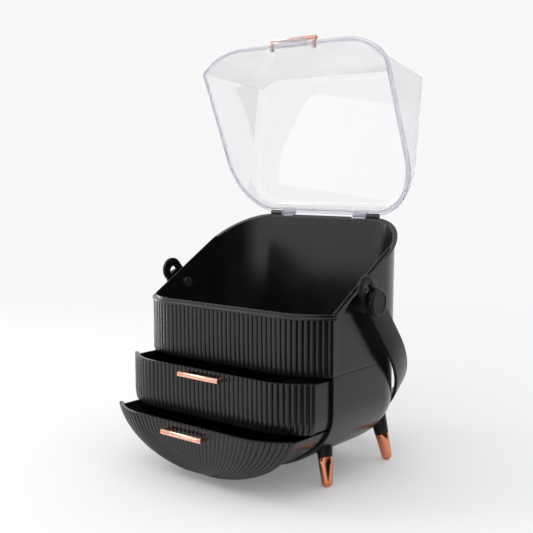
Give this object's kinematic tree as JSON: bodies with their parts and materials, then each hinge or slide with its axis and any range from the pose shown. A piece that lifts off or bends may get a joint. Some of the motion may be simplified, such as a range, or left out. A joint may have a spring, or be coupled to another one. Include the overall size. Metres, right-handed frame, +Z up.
{
  "type": "storage drawer unit",
  "caption": "Portable craft and parts organiser with a clear hinged lid, a deep tray, reeded drawers with metal bar pulls, a swinging carry strap and splayed legs.",
  "frame": {"origin": "middle of the unit's box on the floor, with the lid open, the drawers partly out and the strap hanging", "axes": "+Z up, +Y towards the back, +X to the right as the drawers' user sees it"},
  "size_m": [0.295, 0.2848, 0.4779],
  "materials": {
    "black_plastic": "satin",
    "clear_plastic": "clear",
    "rose_gold": "polished plating",
    "plated_tip": "plated, polished",
    "steel": "zinc plated"
  },
  "bodies": {
    "cabinet": {"tray_shell": "black_plastic", "housing_shell": "black_plastic", "middle_shelf": "black_plastic", "tray_screws": "steel", "handle_spacer_left": "black_plastic", "handle_spacer_right": "black_plastic", "hinge_pin_left": "steel", "hinge_pin_right": "steel", "leg_front_left": "black_plastic", "leg_front_right": "black_plastic", "leg_rear_left": "black_plastic", "leg_rear_right": "black_plastic", "leg_tip_front_left": "plated_tip", "leg_tip_front_right": "plated_tip", "leg_tip_rear_left": "plated_tip", "leg_tip_rear_right": "plated_tip"},
    "upper_drawer_body": {"upper_drawer": "black_plastic", "upper_pull": "rose_gold", "upper_pull_screws": "steel"},
    "lower_drawer_body": {"lower_drawer": "black_plastic", "lower_pull": "rose_gold", "lower_pull_screws": "steel"},
    "lid": {"lid_shell": "clear_plastic", "lid_latch": "clear_plastic", "lid_pull": "rose_gold", "lid_pull_screws": "steel"},
    "knobs": {"handle_knob_left": "black_plastic", "handle_knob_right": "black_plastic", "handle_knob_screw_left": "steel", "handle_knob_screw_right": "steel"},
    "handle": {"carry_strap": "black_plastic"}
  },
  "joints": [
    {"name": "lid_hinge", "type": "hinge", "parent": "cabinet", "child": "lid", "pos_m": [0, 0.1052, 0.2756], "axis": [1, 0, 0], "range_deg": [0, 97.4]},
    {"name": "upper_drawer_slide", "type": "slide", "parent": "cabinet", "child": "upper_drawer_body", "axis": [0, -1, 0], "range_m": [-0.03, 0.0755]},
    {"name": "lower_drawer_slide", "type": "slide", "parent": "cabinet", "child": "lower_drawer_body", "axis": [0, -1, 0], "range_m": [-0.0575, 0.0465]},
    {"name": "handle_swing", "type": "hinge", "parent": "cabinet", "child": "knobs", "pos_m": [0, 0.0002, 0.194], "axis": [1, 0, 0], "range_deg": [0, 84]},
    {"name": "handle_slide", "type": "slide", "parent": "knobs", "child": "handle", "axis": [0, 0.6374, -0.7705], "range_m": [0, 0.018]}
  ]
}
